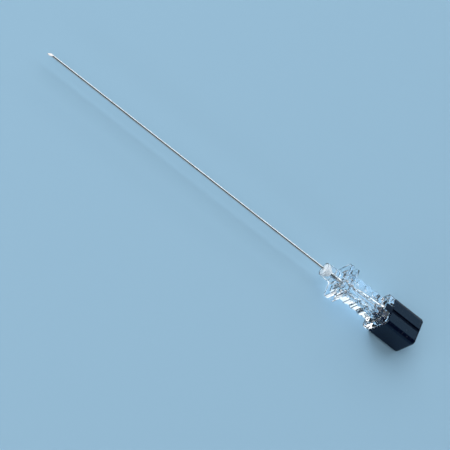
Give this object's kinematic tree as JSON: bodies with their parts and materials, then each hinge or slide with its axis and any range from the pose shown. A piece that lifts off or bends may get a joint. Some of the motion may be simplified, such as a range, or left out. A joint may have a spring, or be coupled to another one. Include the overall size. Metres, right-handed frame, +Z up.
{
  "type": "spinal needle",
  "caption": "Long thin steel needle with a cutting bevel, clear plastic hub with flanges, finger ridges and tapered socket, and a keyed stylet with a square black cap.",
  "frame": {"origin": "on the needle's axis, in the front face of the hub's nose", "axes": "+X along the needle from the point to the cap, +Z up through the key and the bevel's face, +Y to the side"},
  "size_m": [0.1173, 0.0078, 0.0078],
  "materials": {
    "clear_plastic": "polished clear moulded plastic",
    "needle_steel": "drawn and polished stainless tube",
    "adhesive": "milky cured adhesive",
    "wire_steel": "drawn stainless wire",
    "black_plastic": "glossy black moulded plastic"
  },
  "bodies": {
    "needle": {"needle_hub": "clear_plastic", "cannula": "needle_steel", "cannula_adhesive": "adhesive"},
    "stylet": {"stylet_cap": "black_plastic", "stylet_wire": "wire_steel"}
  },
  "joints": [
    {"name": "stylet_slide", "type": "slide", "parent": "needle", "child": "stylet", "axis": [1, 0, 0], "range_m": [0, 0.12]}
  ]
}
